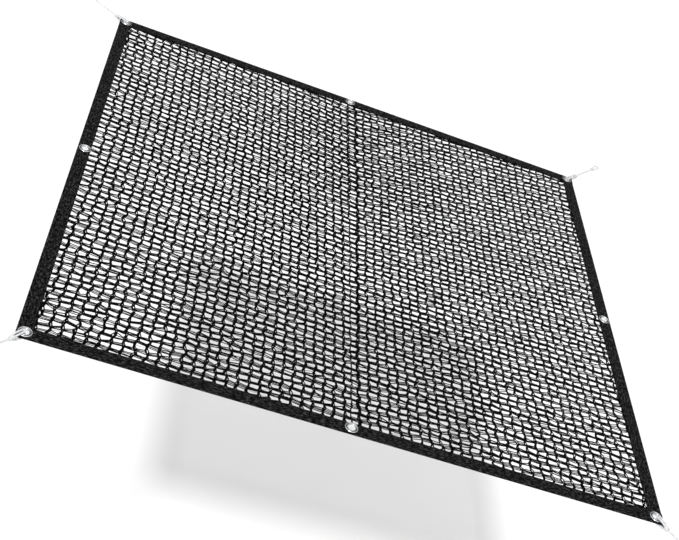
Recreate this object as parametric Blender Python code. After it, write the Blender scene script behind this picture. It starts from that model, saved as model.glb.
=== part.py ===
"""A square of knitted shade net, bound on its four sides, with eyelets and a tie at each corner.

Run it with blender --background --python part.py, or from Blender's text editor.
Units are metres and +Z is up. The cloth hangs level and taut. Sizes below are laid out from the
centre of the cloth. One parent empty then moves everything, so that the origin of the whole part is
where a hook holds the far left tie.
"""

import math

import bmesh
import bpy
from mathutils import Vector

MM = 0.001
GAP = 0.3 * MM  # between pieces that touch on the real thing
SHARP_ANGLE = math.radians(40)  # round pieces keep an edge sharper than this

# The cloth
SIDE = 1.000  # outer edge to outer edge of the binding, both ways
HALF = SIDE / 2

# The binding: a tape folded over the edge of the net
BINDING_WIDTH = 22.5 * MM
BINDING_THICK = 3.0 * MM
FOLD_CHAMFER = 0.8 * MM
SLOT_DEPTH = 3.2 * MM  # how far the net goes in between the two leaves of the tape
SLOT_HEIGHT = 1.6 * MM

# The net: a thin panel with a raised rib for each row of stitches
NET_EDGE = HALF - BINDING_WIDTH + SLOT_DEPTH - GAP  # half the side of the panel
NET_MOUTH = HALF - BINDING_WIDTH - 1.0 * MM  # the flat rim ends just inside the binding
NET_FULL = NET_MOUTH - 2.0 * MM  # the ribs have their full height from here inwards
NET_RIM_UP = 0.5 * MM
NET_CORE_UP = 0.6 * MM
RIB_UP = 1.1 * MM
RIB_FOOT = 2.2 * MM  # from the crest of a rib to its foot
RIB_PITCH = 16.73 * MM
RIBS_A_SIDE = 28
LEFT_RIB = -28.2 * MM  # the first even rib to the left of the middle
RIGHT_RIB = 16.0 * MM
NET_PULL = 0.034  # the net is pulled to its corners, so it is this much narrower half way along
RIB_CROWDING = 0.028  # the ribs lie this much closer at the middle than at the sides
RIB_LEAN = -0.006  # and at the middle they run this much to the left for each metre along
BEND_AT = 0.4 * HALF  # where each rib turns, which gives its bow

# The odd rows of stitches: one thin and one doubled at the middle, and one along the right binding
ODD_RIBS = (
    {"across": -14.9 * MM, "foot": 1.4 * MM},
    {"across": -0.9 * MM, "foot": 3.2 * MM},
    {"across": 484.4 * MM, "foot": 0.8 * MM},
)

# The eyelets: a barrel through the binding, with a flange rolled over on each face
EYELET_INSET = 12.5 * MM  # from the outer edges of the cloth to the centre of the hole
MIDDLE_SHIFT = 12.5 * MM  # the near and far middle eyelets sit this much left of the middle
HOLE_RADIUS = 6.3 * MM
BARREL_RADIUS = 6.0 * MM
BORE_RADIUS = 5.5 * MM
BORE_UP = 2.4 * MM
RIM_INNER = 6.2 * MM
RIM_OUTER = 9.6 * MM
RIM_UP = 2.8 * MM
FLANGE_RADIUS = 10.5 * MM
FLANGE_UNDER = BINDING_THICK / 2 + GAP
ROUND_SIDES = 16

# The ties: a cord with a hitch through the corner eyelet, and a knot and a loop at its far end
CORD_RADIUS = 1.6 * MM
CORD_SIDES = 8
KNOT_RADIUS = 4.3 * MM
KNOT_HALF = 4.5 * MM
KNOT_SIDES = 12
END_KNOT_OUT = 120.0 * MM  # from the centre of the eyelet, along the tie
LOOP_TURN_OUT = 140.0 * MM  # the middle of the round end of the loop, where a hook sits
LOOP_HALF_WIDTH = 4.4 * MM  # to the middle of the cord
LOOP_IN_KNOT = 1.5 * MM  # the legs of the loop start this far past the middle of the end knot
LOOP_START_APART = 1.75 * MM
LEG_STEPS = 4
TURN_STEPS = 8
LINE_STEP = 8.0 * MM

# One row for each eyelet: -1 is the left or the near side, 1 the right or the far side, 0 between them
EYELETS = (
    {"name": "eyelet_near_left", "across": -1, "along": -1},
    {"name": "eyelet_near_middle", "across": 0, "along": -1},
    {"name": "eyelet_near_right", "across": 1, "along": -1},
    {"name": "eyelet_right_middle", "across": 1, "along": 0},
    {"name": "eyelet_far_right", "across": 1, "along": 1},
    {"name": "eyelet_far_middle", "across": 0, "along": 1},
    {"name": "eyelet_far_left", "across": -1, "along": 1},
    {"name": "eyelet_left_middle", "across": -1, "along": 0},
)

# One row for each tie: its corner, the way it runs from +X towards +Y, and how far out its knot sits
TIES = (
    {"corner": "near_left", "across": -1, "along": -1, "heading": -128.9, "knot_out": 23.0 * MM},
    {"corner": "near_right", "across": 1, "along": -1, "heading": -48.5, "knot_out": 23.0 * MM},
    {"corner": "far_right", "across": 1, "along": 1, "heading": 49.4, "knot_out": 42.0 * MM},
    {"corner": "far_left", "across": -1, "along": 1, "heading": 143.4, "knot_out": 26.0 * MM},
)
HELD_TIE = TIES[3]

# One strand of a hitch, from over the edge of the cloth to the middle of the hole, in millimetres:
# out from the centre of the eyelet, apart from the middle of the hitch, and up
STRAND = (
    {"out": 17.0, "apart": 2.4, "up": 3.75},
    {"out": 10.5, "apart": 2.4, "up": 4.75},
    {"out": 6.6, "apart": 2.4, "up": 4.95},
    {"out": 4.3, "apart": 2.3, "up": 4.4},
    {"out": 2.9, "apart": 2.2, "up": 3.2},
    {"out": 2.5, "apart": 2.2, "up": 1.6},
)

# Where a strand goes into its knot, in millimetres: back from the middle of the knot, apart and up
INTO_KNOT = (
    {"back": 0.5, "apart": 1.75, "up": 1.75},
    {"back": 3.5, "apart": 1.9, "up": 2.7},
)

# The turned shape of a knot: along it in halves of its length, and out in shares of its radius
KNOT_PROFILE = (
    {"along": -1.0, "out": 0.68},
    {"along": -0.66, "out": 0.98},
    {"along": -0.33, "out": 0.87},
    {"along": 0.0, "out": 1.0},
    {"along": 0.33, "out": 0.87},
    {"along": 0.66, "out": 0.98},
    {"along": 1.0, "out": 0.68},
)


def clear_scene():
    for obj in list(bpy.data.objects):
        bpy.data.objects.remove(obj, do_unlink=True)


def material(name, colour, roughness, metallic=0.0):
    made = bpy.data.materials.new(name)
    made.use_nodes = True
    shader = made.node_tree.nodes["Principled BSDF"]
    shader.inputs["Base Color"].default_value = (*colour, 1.0)
    shader.inputs["Roughness"].default_value = roughness
    shader.inputs["Metallic"].default_value = metallic
    return made


def mesh_from(bm, name):
    bmesh.ops.recalc_face_normals(bm, faces=bm.faces)
    mesh = bpy.data.meshes.new(name)
    bm.to_mesh(mesh)
    bm.free()
    return mesh


def place(name, data, look, parent, location=(0.0, 0.0, 0.0), turn=0.0):
    """Puts mesh or curve data in the scene as one named piece, turned about its own Z."""
    if not data.materials:
        data.materials.append(look)
    obj = bpy.data.objects.new(name, data)
    bpy.context.scene.collection.objects.link(obj)
    obj.parent = parent
    obj.location = location
    obj.rotation_euler = (0.0, 0.0, turn)
    return obj


def hide_helper(obj):
    obj.hide_render = True
    obj.display_type = "WIRE"


def shade_round(mesh):
    mesh.shade_smooth()
    mesh.set_sharp_from_angle(angle=SHARP_ANGLE)


# The net


def ribs():
    """Each rib from left to right, as its place across the net before it is pulled, and its foot."""
    steps = [step * RIB_PITCH for step in range(RIBS_A_SIDE)]
    left = [(LEFT_RIB - step, RIB_FOOT) for step in steps]
    right = [(RIGHT_RIB + step, RIB_FOOT) for step in steps]
    odd = [(row["across"], row["foot"]) for row in ODD_RIBS]
    return sorted(left + odd + right)


def rib_place(across, foot, along):
    """Where a rib's crest lies, at a distance along the cloth from its middle. It keeps off the binding."""
    bow = 1.0 - (along / HALF) ** 2
    inwards = 1.0 - (across / HALF) ** 2
    pulled = across * (1.0 - NET_PULL * bow) * (1.0 - RIB_CROWDING * inwards) + RIB_LEAN * along * inwards
    most = NET_FULL - foot - GAP
    return max(-most, min(most, pulled))


def net_row(along, crest_up, core_up):
    """The points across the cloth at one place along it, as pairs of across and up."""
    points = [(-NET_EDGE, NET_RIM_UP), (-NET_MOUTH, NET_RIM_UP), (-NET_FULL, core_up)]
    for across, foot in ribs():
        crest = rib_place(across, foot, along)
        points += [(crest - foot, core_up), (crest, crest_up), (crest + foot, core_up)]
    points += [(NET_FULL, core_up), (NET_MOUTH, NET_RIM_UP), (NET_EDGE, NET_RIM_UP)]
    return points


def add_rim_fan(bm, row, ends):
    """Closes the strip between a row of points and the panel's edge, where only two points lie."""
    half = len(row) // 2
    for index in range(len(row) - 1):
        bm.faces.new((row[index], row[index + 1], ends[0] if index < half else ends[1]))
    bm.faces.new((row[half], ends[1], ends[0]))


def net_mesh():
    bm = bmesh.new()
    rows = (
        (-NET_MOUTH, NET_RIM_UP, NET_RIM_UP),
        (-NET_FULL, RIB_UP, NET_CORE_UP),
        (-BEND_AT, RIB_UP, NET_CORE_UP),
        (BEND_AT, RIB_UP, NET_CORE_UP),
        (NET_FULL, RIB_UP, NET_CORE_UP),
        (NET_MOUTH, NET_RIM_UP, NET_RIM_UP),
    )
    sheets = []
    for face in (1, -1):
        grid = [
            [bm.verts.new((across, along, face * up)) for across, up in net_row(along, crest, core)]
            for along, crest, core in rows
        ]
        near_end, far_end = (
            [bm.verts.new((side * NET_EDGE, end * NET_EDGE, face * NET_RIM_UP)) for side in (-1, 1)]
            for end in (-1, 1)
        )
        for low, high in zip(grid, grid[1:]):
            for index in range(len(low) - 1):
                bm.faces.new((low[index], low[index + 1], high[index + 1], high[index]))
        add_rim_fan(bm, grid[0], near_end)
        add_rim_fan(bm, grid[-1], far_end)
        left = [near_end[0]] + [row[0] for row in grid] + [far_end[0]]
        right = [near_end[1]] + [row[-1] for row in grid] + [far_end[1]]
        sheets.append((left, right))
    (top_left, top_right), (low_left, low_right) = sheets
    for top, low in ((top_left, low_left), (top_right, low_right)):
        for index in range(len(top) - 1):
            bm.faces.new((top[index], top[index + 1], low[index + 1], low[index]))
    bm.faces.new((top_left[0], top_right[0], low_right[0], low_left[0]))
    bm.faces.new((top_left[-1], top_right[-1], low_right[-1], low_left[-1]))
    return mesh_from(bm, "net")


# The binding


def strip_mesh(name, length):
    """A folded tape along X, centred on it, with its fold at y = 0 and the net's slot facing +Y."""
    up = BINDING_THICK / 2
    slot_up = SLOT_HEIGHT / 2
    slot_end = BINDING_WIDTH - SLOT_DEPTH
    upper = (
        (0.0, up - FOLD_CHAMFER),
        (FOLD_CHAMFER, up),
        (BINDING_WIDTH, up),
        (BINDING_WIDTH, slot_up),
        (slot_end, slot_up),
    )
    outline = upper + tuple((inward, -height) for inward, height in reversed(upper))
    bm = bmesh.new()
    start = [bm.verts.new((-length / 2, inward, height)) for inward, height in outline]
    section = bm.faces.new(start)
    pulled = bmesh.ops.extrude_face_region(bm, geom=[section])["geom"]
    moved = [item for item in pulled if isinstance(item, bmesh.types.BMVert)]
    bmesh.ops.translate(bm, verts=moved, vec=(length, 0.0, 0.0))
    return mesh_from(bm, name)


def round_plug(name, radius, half_height):
    """A round cutter, with its corners where the eyelet's barrel has them."""
    bm = bmesh.new()
    rings = []
    for height in (-half_height, half_height):
        ring = [
            bm.verts.new((radius * math.cos(turn), radius * math.sin(turn), height))
            for turn in (math.tau * step / ROUND_SIDES for step in range(ROUND_SIDES))
        ]
        rings.append(ring)
        bm.faces.new(ring)
    for step in range(ROUND_SIDES):
        after = (step + 1) % ROUND_SIDES
        bm.faces.new((rings[0][step], rings[0][after], rings[1][after], rings[1][step]))
    return mesh_from(bm, name)


def eyelet_place(row):
    """The centre of an eyelet, from the centre of the cloth."""
    reach = HALF - EYELET_INSET
    across = row["across"] * reach if row["across"] else -MIDDLE_SHIFT
    return (across, row["along"] * reach, 0.0)


def add_bindings(look, parent):
    """The near and far strips run the whole side, and the other two fit between them."""
    between = SIDE - 2 * (BINDING_WIDTH + GAP)
    strips = (
        {"name": "binding_near", "length": SIDE, "across": 0, "along": -1, "turn": 0.0},
        {"name": "binding_far", "length": SIDE, "across": 0, "along": 1, "turn": math.pi},
        {"name": "binding_left", "length": between, "across": -1, "along": 0, "turn": -math.pi / 2},
        {"name": "binding_right", "length": between, "across": 1, "along": 0, "turn": math.pi / 2},
    )
    plug = round_plug("hole_cutter", HOLE_RADIUS, BINDING_THICK)
    for strip in strips:
        at = (strip["across"] * HALF, strip["along"] * HALF, 0.0)
        mesh = strip_mesh(strip["name"], strip["length"])
        tape = place(strip["name"], mesh, look, parent, at, strip["turn"])
        for row in EYELETS:
            on_long = strip["along"] != 0 and row["along"] == strip["along"]
            on_short = strip["across"] != 0 and row["along"] == 0 and row["across"] == strip["across"]
            if not (on_long or on_short):
                continue
            cutter = place("hole_for_" + row["name"], plug, look, parent, eyelet_place(row))
            hide_helper(cutter)
            hole = tape.modifiers.new("hole_" + row["name"], "BOOLEAN")
            hole.operation = "DIFFERENCE"
            hole.object = cutter


# The eyelets


def eyelet_mesh():
    """A barrel and its two flanges, turned about Z as one closed ring."""
    upper = (
        (BORE_RADIUS, BORE_UP),
        (RIM_INNER, RIM_UP),
        (RIM_OUTER, RIM_UP),
        (FLANGE_RADIUS, FLANGE_UNDER),
        (BARREL_RADIUS, FLANGE_UNDER),
    )
    profile = upper + tuple((radius, -height) for radius, height in reversed(upper))
    bm = bmesh.new()
    rings = []
    for step in range(ROUND_SIDES):
        turn = math.tau * step / ROUND_SIDES
        rings.append(
            [bm.verts.new((r * math.cos(turn), r * math.sin(turn), height)) for r, height in profile]
        )
    for step, ring in enumerate(rings):
        after = rings[(step + 1) % ROUND_SIDES]
        for index in range(len(profile)):
            onward = (index + 1) % len(profile)
            bm.faces.new((ring[index], ring[onward], after[onward], after[index]))
    mesh = mesh_from(bm, "eyelet")
    shade_round(mesh)
    return mesh


def add_eyelets(look, parent):
    mesh = eyelet_mesh()
    for row in EYELETS:
        place(row["name"], mesh, look, parent, eyelet_place(row))


# The ties


def tube_mesh(name, route):
    """A cord of flat sides along a route of points, with its two ends closed."""
    bm = bmesh.new()
    rings = []
    side = None
    for index, point in enumerate(route):
        ahead = route[min(index + 1, len(route) - 1)]
        behind = route[max(index - 1, 0)]
        heading = (ahead - behind).normalized()
        if side is None:
            side = heading.orthogonal()
        side = (side - heading * side.dot(heading)).normalized()
        other = heading.cross(side)
        ring = []
        for step in range(CORD_SIDES):
            turn = math.tau * (step + 0.5) / CORD_SIDES
            offset = side * math.cos(turn) + other * math.sin(turn)
            ring.append(bm.verts.new(point + offset * CORD_RADIUS))
        rings.append(ring)
    for ring, after in zip(rings, rings[1:]):
        for step in range(CORD_SIDES):
            onward = (step + 1) % CORD_SIDES
            bm.faces.new((ring[step], ring[onward], after[onward], after[step]))
    bm.faces.new(rings[0])
    bm.faces.new(rings[-1])
    return mesh_from(bm, name)


def knot_mesh(name, centre_out):
    """A knot as a turned barrel along X, with a ridge for each turn of the cord."""
    bm = bmesh.new()
    rings = []
    for row in KNOT_PROFILE:
        out = centre_out + row["along"] * KNOT_HALF
        radius = row["out"] * KNOT_RADIUS
        rings.append(
            [
                bm.verts.new((out, radius * math.cos(turn), radius * math.sin(turn)))
                for turn in (math.tau * step / KNOT_SIDES for step in range(KNOT_SIDES))
            ]
        )
    for ring, after in zip(rings, rings[1:]):
        for step in range(KNOT_SIDES):
            onward = (step + 1) % KNOT_SIDES
            bm.faces.new((ring[step], ring[onward], after[onward], after[step]))
    bm.faces.new(rings[0])
    bm.faces.new(rings[-1])
    return mesh_from(bm, name)


def joined(name, meshes):
    """One closed mesh out of several that overlap."""
    helpers = []
    for mesh in meshes:
        helper = bpy.data.objects.new(mesh.name, mesh)
        bpy.context.scene.collection.objects.link(helper)
        helpers.append(helper)
    for helper in helpers[1:]:
        union = helpers[0].modifiers.new(helper.name, "BOOLEAN")
        union.operation = "UNION"
        union.object = helper
    graph = bpy.context.evaluated_depsgraph_get()
    made = bpy.data.meshes.new_from_object(helpers[0].evaluated_get(graph))
    made.name = name
    for helper in helpers:
        bpy.data.objects.remove(helper, do_unlink=True)
    shade_round(made)
    return made


def strand_route(side, knot_out):
    """From inside the knot, over the edge, down through the eyelet and back below, as points."""
    over = [(knot_out / MM - row["back"], side * row["apart"], row["up"]) for row in INTO_KNOT]
    over += [(row["out"], side * row["apart"], row["up"]) for row in STRAND]
    under = [(out, apart, -up) for out, apart, up in reversed(over)]
    return [Vector(point) * MM for point in over + under]


def hitch_mesh(name, knot_out):
    knot = knot_mesh(name + "_knot", knot_out)
    strands = [tube_mesh(name + "_strand", strand_route(side, knot_out)) for side in (-1, 1)]
    return joined(name, [knot] + strands)


def loop_route():
    """A drop shape: two legs out of the knot, and half a turn that joins them."""
    leg_start = END_KNOT_OUT + LOOP_IN_KNOT
    leg = []
    for step in range(LEG_STEPS):
        share = step / LEG_STEPS
        widened = math.sin(share * math.pi / 2)
        apart = LOOP_START_APART + (LOOP_HALF_WIDTH - LOOP_START_APART) * widened
        leg.append(Vector((leg_start + (LOOP_TURN_OUT - leg_start) * share, apart, 0.0)))
    turn = []
    for step in range(TURN_STEPS + 1):
        angle = math.pi / 2 - math.pi * step / TURN_STEPS
        centre = Vector((LOOP_TURN_OUT, 0.0, 0.0))
        turn.append(centre + Vector((math.cos(angle), math.sin(angle), 0.0)) * LOOP_HALF_WIDTH)
    back = [Vector((point.x, -point.y, 0.0)) for point in reversed(leg)]
    return leg + turn + back


def line_curve(name, start, end):
    """The taut line of a tie, as a curve along X with a round bevel."""
    curve = bpy.data.curves.new(name, "CURVE")
    curve.dimensions = "3D"
    curve.bevel_depth = CORD_RADIUS
    curve.bevel_resolution = 2
    curve.use_fill_caps = True
    steps = math.ceil((end - start) / LINE_STEP)
    spline = curve.splines.new("POLY")
    spline.points.add(steps)
    for index, point in enumerate(spline.points):
        point.co = (start + (end - start) * index / steps, 0.0, 0.0, 1.0)
    spline.use_smooth = True
    return curve


def add_ties(look, parent):
    loop = joined("end_loop", [knot_mesh("end_knot", END_KNOT_OUT), tube_mesh("end_turn", loop_route())])
    for tie in TIES:
        at = eyelet_place(tie)
        turn = math.radians(tie["heading"])
        hitch = hitch_mesh("hitch_" + tie["corner"], tie["knot_out"])
        start = tie["knot_out"] + KNOT_HALF + GAP
        end = END_KNOT_OUT - KNOT_HALF - GAP
        line = line_curve("cord_" + tie["corner"], start, end)
        place("hitch_" + tie["corner"], hitch, look, parent, at, turn)
        place("cord_" + tie["corner"], line, look, parent, at, turn)
        place("loop_" + tie["corner"], loop, look, parent, at, turn)


def held_point():
    """Where the hook sits in the held tie's loop, from the centre of the cloth."""
    heading = math.radians(HELD_TIE["heading"])
    out = Vector((math.cos(heading), math.sin(heading), 0.0)) * LOOP_TURN_OUT
    return Vector(eyelet_place(HELD_TIE)) + out


def build():
    clear_scene()
    net_look = material("net", (0.012, 0.012, 0.013), 0.45)
    binding_look = material("binding", (0.010, 0.010, 0.011), 0.6)
    eyelet_look = material("eyelet", (0.78, 0.79, 0.80), 0.28, metallic=1.0)
    cord_look = material("cord", (0.85, 0.85, 0.84), 0.7)
    hung = bpy.data.objects.new("hung_from", None)
    bpy.context.scene.collection.objects.link(hung)
    hung.location = -held_point()
    place("net", net_mesh(), net_look, hung)
    add_bindings(binding_look, hung)
    add_eyelets(eyelet_look, hung)
    add_ties(cord_look, hung)


build()
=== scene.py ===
"""The looks of a square of knitted shade net, bound with tape and held level by a tie at each corner.

Lengths are in metres. After the camera and the ties, the sections follow the cloth as it is put together:
its wales are knitted, the inlaid tapes cross them, and it is bound, sewn and fitted with eyelets.
"""

import math

import bpy
import numpy as np
from mathutils import Matrix, Vector


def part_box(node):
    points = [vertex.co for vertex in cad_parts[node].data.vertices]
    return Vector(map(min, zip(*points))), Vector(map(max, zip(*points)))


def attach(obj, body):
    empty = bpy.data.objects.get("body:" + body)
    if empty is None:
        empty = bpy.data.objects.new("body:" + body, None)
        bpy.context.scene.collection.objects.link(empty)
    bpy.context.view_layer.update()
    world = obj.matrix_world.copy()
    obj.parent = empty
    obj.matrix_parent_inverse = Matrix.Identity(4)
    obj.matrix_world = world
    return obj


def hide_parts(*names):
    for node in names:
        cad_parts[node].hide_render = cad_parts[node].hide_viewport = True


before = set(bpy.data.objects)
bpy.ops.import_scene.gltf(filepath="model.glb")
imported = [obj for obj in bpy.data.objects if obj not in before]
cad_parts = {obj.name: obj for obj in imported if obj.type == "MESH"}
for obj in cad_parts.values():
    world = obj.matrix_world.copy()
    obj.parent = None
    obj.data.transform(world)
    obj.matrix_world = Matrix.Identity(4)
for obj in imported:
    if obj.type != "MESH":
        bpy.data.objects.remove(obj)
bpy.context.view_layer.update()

# The camera
# It looks down on the cloth from in front and from the left, and is rolled over to the right. Its place is
# measured from the middle of the cloth, which is also where the net's own sizes start.

CAMERA_PLACE = Vector((-0.4814, -1.8330, 1.1612))
CAMERA_TURN = math.radians(-15.702)
CAMERA_DOWN = math.radians(33.114)
CAMERA_ROLL = math.radians(26.589)
LENS_IN_MM = 67.41
VIEW_SHIFT = (-0.0269, 0.0137)


def middle_of(node):
    """The middle of a CAD node's box."""
    low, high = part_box(node)
    return (low + high) / 2


cloth_middle = middle_of("net")
camera_data = bpy.data.cameras.new("camera")
camera_data.lens = LENS_IN_MM
camera_data.shift_x, camera_data.shift_y = VIEW_SHIFT
camera = bpy.data.objects.new("camera", camera_data)
camera.matrix_world = (
    Matrix.Translation(cloth_middle + CAMERA_PLACE)
    @ Matrix.Rotation(CAMERA_TURN, 4, "Z")
    @ Matrix.Rotation(math.pi / 2 - CAMERA_DOWN, 4, "X")
    @ Matrix.Rotation(CAMERA_ROLL, 4, "Z")
)
bpy.context.scene.collection.objects.link(camera)
bpy.context.scene.camera = camera

# The ties
# Each corner is held by a white 3.2 mm cord, a hollow braid of eight polyester strands. It is hitched
# through its eyelet, wrapped into a knot, drawn taut, and knotted again into a loop that goes over a hook.

MM = 0.001
CORD_RADIUS = 1.6 * MM
CORD_STEP = 0.5 * MM  # from ring to ring
CORD_AROUND = 20  # points in each ring
CURVE_STEPS = 12
BRAID_STRANDS = 4  # that wind each way
BRAID_LAY = 11.0 * MM  # along the cord, for one turn of a strand
BRAID_GROOVE = 0.16  # how deep the grooves are, as a share of the radius
KNOT_HALF = 4.5 * MM  # half the length of a knot
KNOT_GAP = 0.3 * MM  # from a knot to where the line counts as free
WRAP_RADIUS = 2.7 * MM
WRAP_PITCH = 2.9 * MM
WRAP_TURNS = 2.4
WRAP_POINTS = 240
LED_IN = 0.55  # how far towards the tie the ends of the wrap go, as a share of its radius
LED_IN_FROM = 0.86  # where that starts, from 0 at the middle of the wrap to 1 at each end
END_KNOT_OUT = 120.0 * MM
LOOP_TURN_OUT = 140.0 * MM
LOOP_HALF_WIDTH = 4.4 * MM
LEGS_START = 1.5 * MM  # how far past the middle of the end knot the legs of the loop start
LEGS_APART = 1.75 * MM  # and how far from the tie's line
LEG_STEPS = 4
TURN_STEPS = 8
LINE_TUCKED = 3.0 * MM  # how far a line runs on into the knot at each end of it
WHITE_CORD = (0.74, 0.745, 0.75)
SHADED_CORD = (0.55, 0.555, 0.57)

# Each tie's corner, its heading in degrees, and how far out its hitch's knot is
TIES = (
    ("near_left", -128.9, 23.0 * MM),
    ("near_right", -48.5, 23.0 * MM),
    ("far_right", 49.4, 42.0 * MM),
    ("far_left", 143.4, 26.0 * MM),
)

# A strand of a hitch, from over the edge to the middle of the hole: out, apart and up, in millimetres
STRAND = (
    (17.0, 2.4, 3.75),
    (10.5, 2.4, 4.75),
    (6.6, 2.4, 4.95),
    (4.3, 2.3, 4.4),
    (2.9, 2.2, 3.2),
    (2.5, 2.2, 1.6),
)
# Where it goes into its knot: back from the middle of the knot, apart and up, in millimetres
INTO_KNOT = ((0.5, 1.75, 1.75), (3.5, 1.9, 2.7))


def spaced(line, step):
    """The same line again, with its points an even distance apart, about one step."""
    lengths = np.linalg.norm(np.diff(line, axis=0), axis=1)
    reached = np.concatenate([[0.0], np.cumsum(lengths)])
    wanted = np.linspace(0.0, reached[-1], math.ceil(reached[-1] / step) + 1)
    return np.stack([np.interp(wanted, reached, line[:, axis]) for axis in range(3)], axis=1)


def smooth_line(points, step):
    """A curve through points. Between two of them it is the cubic that leaves each one along the straight
    line from the point before it to the point after it."""
    points = np.asarray(points, float)
    before = np.vstack([2 * points[0] - points[1], points[:-1]])
    after = np.vstack([points[1:], 2 * points[-1] - points[-2]])
    slope = (after - before) / 2
    share = np.linspace(0.0, 1.0, CURVE_STEPS, endpoint=False)[:, None]
    start, end = points[:-1, None], points[1:, None]
    leave, arrive = slope[:-1, None], slope[1:, None]
    curve = (
        (2 * share**3 - 3 * share**2 + 1) * start
        + (share**3 - 2 * share**2 + share) * leave
        + (3 * share**2 - 2 * share**3) * end
        + (share**3 - share**2) * arrive
    )
    return spaced(np.vstack([curve.reshape(-1, 3), points[-1:]]), step)


def unit(vectors):
    """Each vector divided by its own length."""
    return vectors / np.linalg.norm(vectors, axis=-1, keepdims=True)


def rolled_faces(count, rings, around):
    """The faces of many tubes whose points lie in rings. A face joins two neighbours in a ring to the same
    two in the next ring, and one flat face closes each end."""
    index = np.arange(count * rings * around).reshape(count, rings, around)
    onward = np.roll(index, -1, axis=2)
    sides = np.stack([index[:, :-1], onward[:, :-1], onward[:, 1:], index[:, 1:]], axis=-1)
    ends = np.concatenate([index[:, 0, ::-1], index[:, -1]])
    return sides.reshape(-1, 4), ends


def unrolled(along, around, girth):
    """For each corner of those faces its place on the tube laid out flat: round it, and along it."""
    count, rings = along.shape
    turn = (np.arange(around)[:, None] + np.array([0, 1, 1, 0])) * girth / around
    onward = np.stack([along[:, :-1], along[:, :-1], along[:, 1:], along[:, 1:]], axis=-1)
    flat = np.empty((count, rings - 1, around, 4, 2))
    flat[..., 0] = turn
    flat[..., 1] = onward[:, :, None]
    return flat.reshape(-1, 2)


def new_piece(name, shapes, look):
    """Puts whole arrays into one mesh. A shape is its points, its faces of four corners, the faces that
    close its ends, and a place on the flat for each corner of the first."""
    starts = np.cumsum([0] + [len(points) for points, *_ in shapes])
    sides = np.concatenate([shape[1] + start for shape, start in zip(shapes, starts)])
    ends = np.concatenate([shape[2] + start for shape, start in zip(shapes, starts)])
    corners = np.concatenate([sides.ravel(), ends.ravel()])
    sizes = np.concatenate([np.full(len(sides), 4), np.full(len(ends), ends.shape[1])])
    flat = np.zeros((len(corners), 2))
    flat[: sides.size] = np.concatenate([shape[3] for shape in shapes])
    mesh = bpy.data.meshes.new(name)
    mesh.vertices.add(starts[-1])
    mesh.vertices.foreach_set("co", np.concatenate([points for points, *_ in shapes]).ravel())
    mesh.loops.add(len(corners))
    mesh.loops.foreach_set("vertex_index", corners)
    mesh.polygons.add(len(sizes))
    mesh.polygons.foreach_set("loop_start", np.concatenate([[0], np.cumsum(sizes)[:-1]]))
    mesh.update(calc_edges=True)
    mesh.shade_smooth()
    mesh.uv_layers.new(name="flat").uv.foreach_set("vector", flat.ravel())
    mesh.materials.append(look)
    piece = bpy.data.objects.new(name, mesh)
    bpy.context.scene.collection.objects.link(piece)
    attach(piece, "root")
    return piece


def braid_height(turn, along):
    """From 0 in the grooves to 1 on the strands. Four ridges wind to the right and four to the left, and
    which of two is on top changes from one crossing to the next, as on a chequerboard."""
    right = BRAID_STRANDS * (turn + along / BRAID_LAY)
    left = BRAID_STRANDS * (turn - along / BRAID_LAY)
    right_over = (np.floor(right) + np.floor(left)) % 2 == 0
    right_ridge = np.sin(math.pi * (right % 1.0))
    left_ridge = np.sin(math.pi * (left % 1.0))
    steep, level = 0.9, 0.3
    over = right_ridge**steep * left_ridge**level
    under = right_ridge**level * left_ridge**steep
    return np.where(right_over, over, under)


def braided(line, beside):
    """A cord along a line. Each ring lies square to the line, from the direction beside it, and its radius
    follows the braid."""
    line = np.asarray(line, float)
    heading = unit(np.gradient(line, axis=0))
    beside = np.broadcast_to(np.asarray(beside, float), line.shape)
    side = unit(beside - heading * (beside * heading).sum(-1, keepdims=True))
    other = np.cross(heading, side)
    along = np.arange(len(line)) * CORD_STEP
    turn = np.arange(CORD_AROUND) / CORD_AROUND
    radius = CORD_RADIUS * (1 - BRAID_GROOVE + BRAID_GROOVE * braid_height(turn, along[:, None]))
    around = math.tau * turn[:, None]
    out = np.cos(around) * side[:, None] + np.sin(around) * other[:, None]
    points = line[:, None] + radius[..., None] * out
    sides, ends = rolled_faces(1, len(line), CORD_AROUND)
    flat = unrolled(along[None], CORD_AROUND, math.tau * CORD_RADIUS)
    return points.reshape(-1, 3), sides, ends, flat


def wrapped_knot(middle_out):
    """The turns of a knot: a helix round the tie, whose radius gets smaller at both ends, so that they are
    led in under the turns."""
    share = np.linspace(-1.0, 1.0, WRAP_POINTS)
    led_in = np.clip((abs(share) - LED_IN_FROM) / (1 - LED_IN_FROM), 0.0, 1.0)
    radius = WRAP_RADIUS * (1 - LED_IN * led_in)
    turn = math.pi * WRAP_TURNS * share
    out = middle_out + share * WRAP_PITCH * WRAP_TURNS / 2
    line = spaced(np.stack([out, radius * np.cos(turn), radius * np.sin(turn)], axis=1), CORD_STEP)
    return braided(line, line * (0.0, 1.0, 1.0))


def hitch_strand(side, knot_out):
    """One leg of the hitch: from inside the knot over the edge, down through the eyelet, and back below."""
    over = [(knot_out / MM - back, side * apart, up) for back, apart, up in INTO_KNOT]
    over += [(out, side * apart, up) for out, apart, up in STRAND]
    under = [(out, apart, -up) for out, apart, up in reversed(over)]
    return braided(smooth_line(np.array(over + under) * MM, CORD_STEP), (0.0, 1.0, 0.0))


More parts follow.
